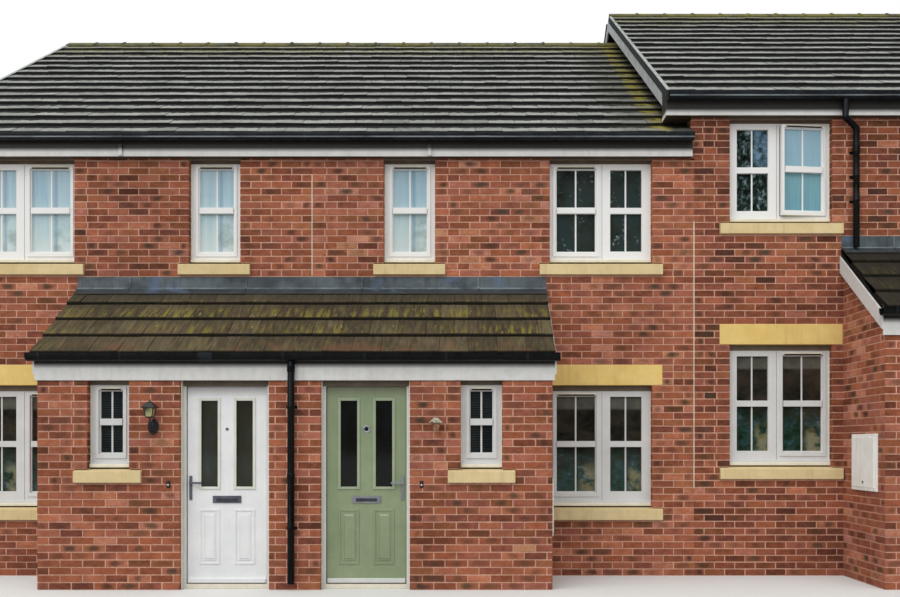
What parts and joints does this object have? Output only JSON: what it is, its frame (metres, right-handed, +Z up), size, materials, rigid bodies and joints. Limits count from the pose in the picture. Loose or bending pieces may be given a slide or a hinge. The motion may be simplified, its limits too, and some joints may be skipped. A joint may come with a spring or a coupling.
{
  "type": "terraced house row",
  "caption": "Row of brick terraced houses in two stepped pairs, each pair with a shared lean-to porch, pitched tiled roofs, stone sills and lintels, and front doors that open",
  "frame": {"origin": "underside of the wall where the row steps up, midway along it and midway through it, on the ground", "axes": "+X to the right along the row seen from the street, -Y out of the front faces, +Z up"},
  "size_m": [17.43, 9.5769, 8.1247],
  "materials": {
    "red_brick": "rough fired clay brick with pale mortar",
    "blockwork": "rough concrete block",
    "concrete": "floated concrete",
    "floor_boards": "matt timber boards",
    "timber": "sawn timber",
    "roof_tile": "weathered grey-brown concrete tile",
    "porch_tile": "weathered brown concrete tile with moss",
    "lead": "dull grey lead sheet",
    "white_upvc": "satin white plastic",
    "black_upvc": "satin black plastic",
    "dark_verge": "matt dark grey plastic",
    "glass": "clear sealed glass unit",
    "ochre_stone": "sandy cast stone",
    "white_door_skin": "white moulded door skin with a fine grain",
    "green_door_skin": "sage green moulded door skin with a fine grain",
    "black_fittings": "black painted metal",
    "steel_fittings": "brushed steel"
  },
  "bodies": {
    "houses": {"ground_floors": "concrete", "porch_floors": "concrete", "first_floors": "floor_boards", "front_lower_walls": "red_brick", "front_upper_wall_left": "red_brick", "front_upper_wall_right": "red_brick", "rear_wall_left": "red_brick", "rear_wall_right": "red_brick", "end_wall_left": "red_brick", "end_wall_right": "red_brick", "step_wall": "red_brick", "party_walls": "blockwork", "porch_front_walls": "red_brick", "porch_beams": "timber", "porch_side_walls": "red_brick", "porch_party_walls": "blockwork", "roof_front_left": "roof_tile", "roof_rear_left": "roof_tile", "roof_front_right": "roof_tile", "roof_rear_right": "roof_tile", "ridge_tiles": "roof_tile", "porch_roofs": "porch_tile", "porch_flashings": "lead", "eaves_boards": "white_upvc", "porch_fascias": "white_upvc", "gutters": "black_upvc", "porch_gutters": "black_upvc", "bargeboards_front": "white_upvc", "bargeboards_rear": "white_upvc", "verge_caps_front": "dark_verge", "verge_caps_rear": "dark_verge", "porch_bargeboards": "white_upvc", "downpipes": "black_upvc", "upper_windows": "white_upvc", "ground_windows": "white_upvc", "porch_windows": "white_upvc", "window_glass_upper": "glass", "window_glass_lower": "glass", "stone_sills": "ochre_stone", "stone_lintels": "ochre_stone", "door_jambs": "white_upvc", "door_heads": "white_upvc", "door_thresholds": "white_upvc", "fixed_doors": "white_door_skin", "fixed_door_glass": "glass", "wall_lanterns": "black_fittings", "meter_boxes": "white_upvc"},
    "white_door": {"white_door": "white_door_skin", "white_door_glass": "glass", "white_door_fittings": "black_fittings"},
    "green_door": {"green_door": "green_door_skin", "green_door_glass": "glass", "green_door_fittings": "steel_fittings"}
  },
  "joints": [
    {"name": "white_door_hinge", "type": "hinge", "parent": "houses", "child": "white_door", "pos_m": [-4.618, -4.9535, 1], "axis": [0, 0, -1], "range_deg": [0, 90]},
    {"name": "green_door_hinge", "type": "hinge", "parent": "houses", "child": "green_door", "pos_m": [-4.017, -4.9535, 1], "axis": [0, 0, 1], "range_deg": [0, 90]}
  ]
}
